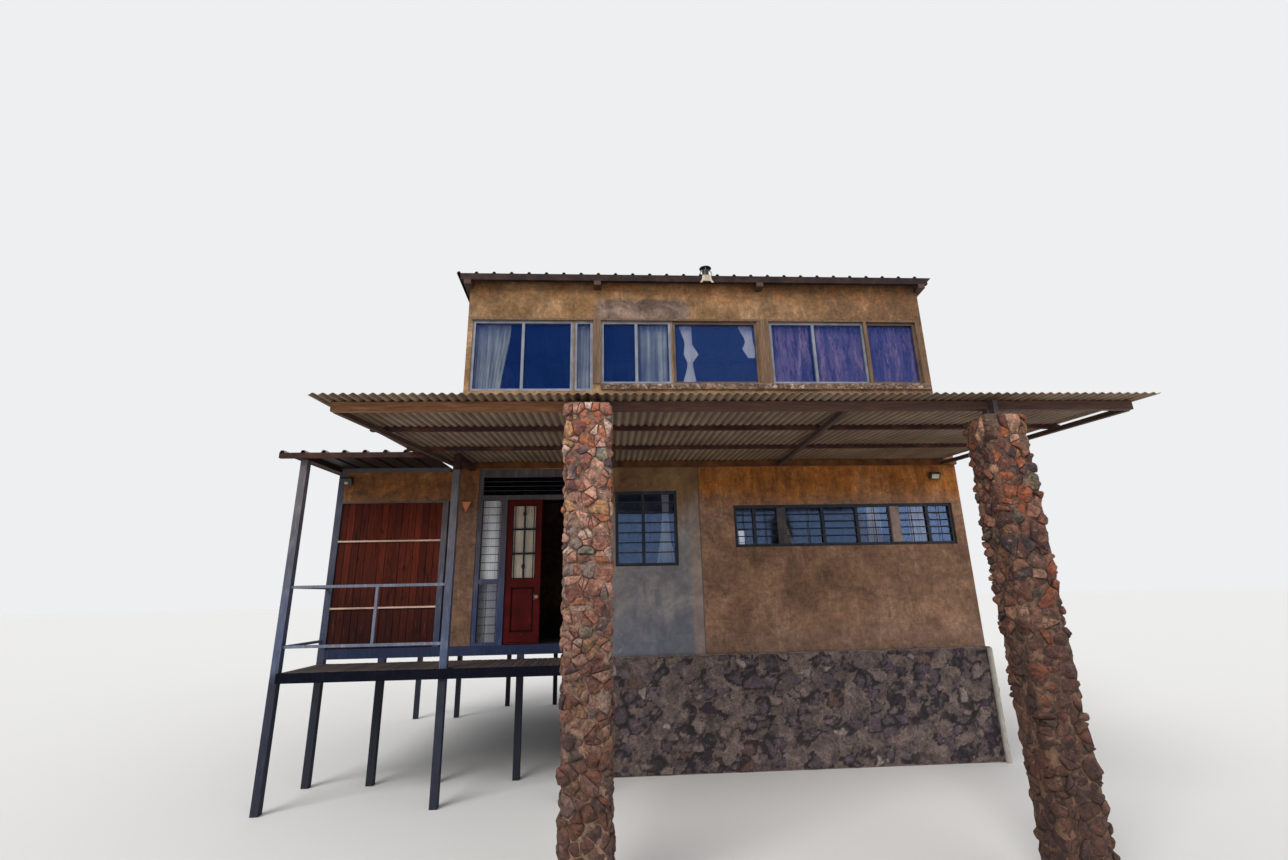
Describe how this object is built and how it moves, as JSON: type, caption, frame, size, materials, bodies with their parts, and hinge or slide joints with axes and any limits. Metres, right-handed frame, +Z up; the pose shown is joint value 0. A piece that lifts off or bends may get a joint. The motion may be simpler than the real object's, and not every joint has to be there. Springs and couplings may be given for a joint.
{
  "type": "adobe house",
  "caption": "Two-storey adobe house with a stone-pillared porch, a raised side wing with an open deck, a glazed double door and long window rows.",
  "frame": {"origin": "centre of the whole building's footprint box, at the level of the lowest ground it reaches", "axes": "+X to the right along the front, +Y from the porch to the rear wall, +Z up"},
  "size_m": [8.71, 8.5222, 6.8044],
  "materials": {
    "ochre_adobe": "rough mud plaster with weather stains",
    "grey_plaster": "rough cement plaster",
    "rubble_stone": "rubble set in mortar",
    "pillar_stone": "pink, orange and ochre field stones in pale mortar",
    "blue_steel": "grey-blue paint, a little worn",
    "rusty_steel": "red-brown primer and rust",
    "dark_timber": "dark stained timber",
    "porch_timber": "weathered light timber",
    "floor_boards": "worn boards",
    "roof_sheet": "zinc-coated sheet with rust at the edges",
    "porch_sheet": "zinc-coated corrugated sheet",
    "red_boards": "red-brown varnished boards",
    "red_door": "red-brown paint",
    "dark_frame": "dark paint",
    "aluminium_frame": "mill finish",
    "window_glass": "clear, dusty",
    "curtain_cloth": "plain weave",
    "purple_cloth": "mottled dyed cotton",
    "black_plastic": "matte black",
    "drain_plastic": "pale weathered pipe",
    "terracotta": "fired clay"
  },
  "bodies": {
    "house": {"stone_foundation": "rubble_stone", "drain_pipe": "drain_plastic", "floor_frame": "blue_steel", "floor_stilts": "blue_steel", "ground_floor": "floor_boards", "front_wall_right": "ochre_adobe", "front_wall_middle": "grey_plaster", "door_pier": "ochre_adobe", "wall_over_door": "ochre_adobe", "lower_left_wall": "ochre_adobe", "lower_right_wall": "ochre_adobe", "lower_back_wall": "ochre_adobe", "upper_floor": "floor_boards", "upper_front_wall": "ochre_adobe", "upper_side_walls": "ochre_adobe", "upper_back_wall": "ochre_adobe", "window_trim": "dark_timber", "window_ledge": "ochre_adobe", "main_roof": "roof_sheet", "roof_purlins": "rusty_steel", "roof_rafters": "dark_timber", "roof_flue": "roof_sheet", "porch_roof": "porch_sheet", "porch_beam": "porch_timber", "porch_purlins": "rusty_steel", "porch_rafters": "dark_timber", "porch_ledger": "rusty_steel", "pillar_middle": "pillar_stone", "pillar_right": "pillar_stone", "pillar_brackets": "blue_steel", "wing_roof": "roof_sheet", "wing_roof_beams": "rusty_steel", "wing_wall_beam": "blue_steel", "wing_walls": "ochre_adobe", "boarded_panel": "red_boards", "panel_frame": "blue_steel", "deck_posts": "blue_steel", "deck_frame": "blue_steel", "deck_boards": "floor_boards", "deck_railing": "blue_steel", "door_frame": "blue_steel", "door_frame_glass": "window_glass", "door_hinges": "blue_steel", "small_windows": "dark_frame", "ribbon_window": "dark_frame", "ribbon_posts": "grey_plaster", "upper_windows": "aluminium_frame", "lower_window_glass": "window_glass", "upper_window_glass": "window_glass", "curtain_rails": "aluminium_frame", "lower_curtains": "curtain_cloth", "upper_curtains": "curtain_cloth", "purple_cloths": "purple_cloth", "floodlights": "black_plastic", "wall_ornament": "terracotta"},
    "left_leaf": {"door_leaf_left": "red_door", "door_leaf_left_glass": "window_glass"},
    "right_leaf": {"door_leaf_right": "red_door", "door_leaf_right_glass": "window_glass"}
  },
  "joints": [
    {"name": "left_leaf_hinge", "type": "hinge", "parent": "house", "child": "left_leaf", "pos_m": [-1.892, -0.8, 1.508], "axis": [0, 0, 1], "range_deg": [0, 95]},
    {"name": "right_leaf_hinge", "type": "hinge", "parent": "house", "child": "right_leaf", "pos_m": [-0.988, -0.8, 1.508], "axis": [0, 0, -1], "range_deg": [-90, 0]}
  ]
}
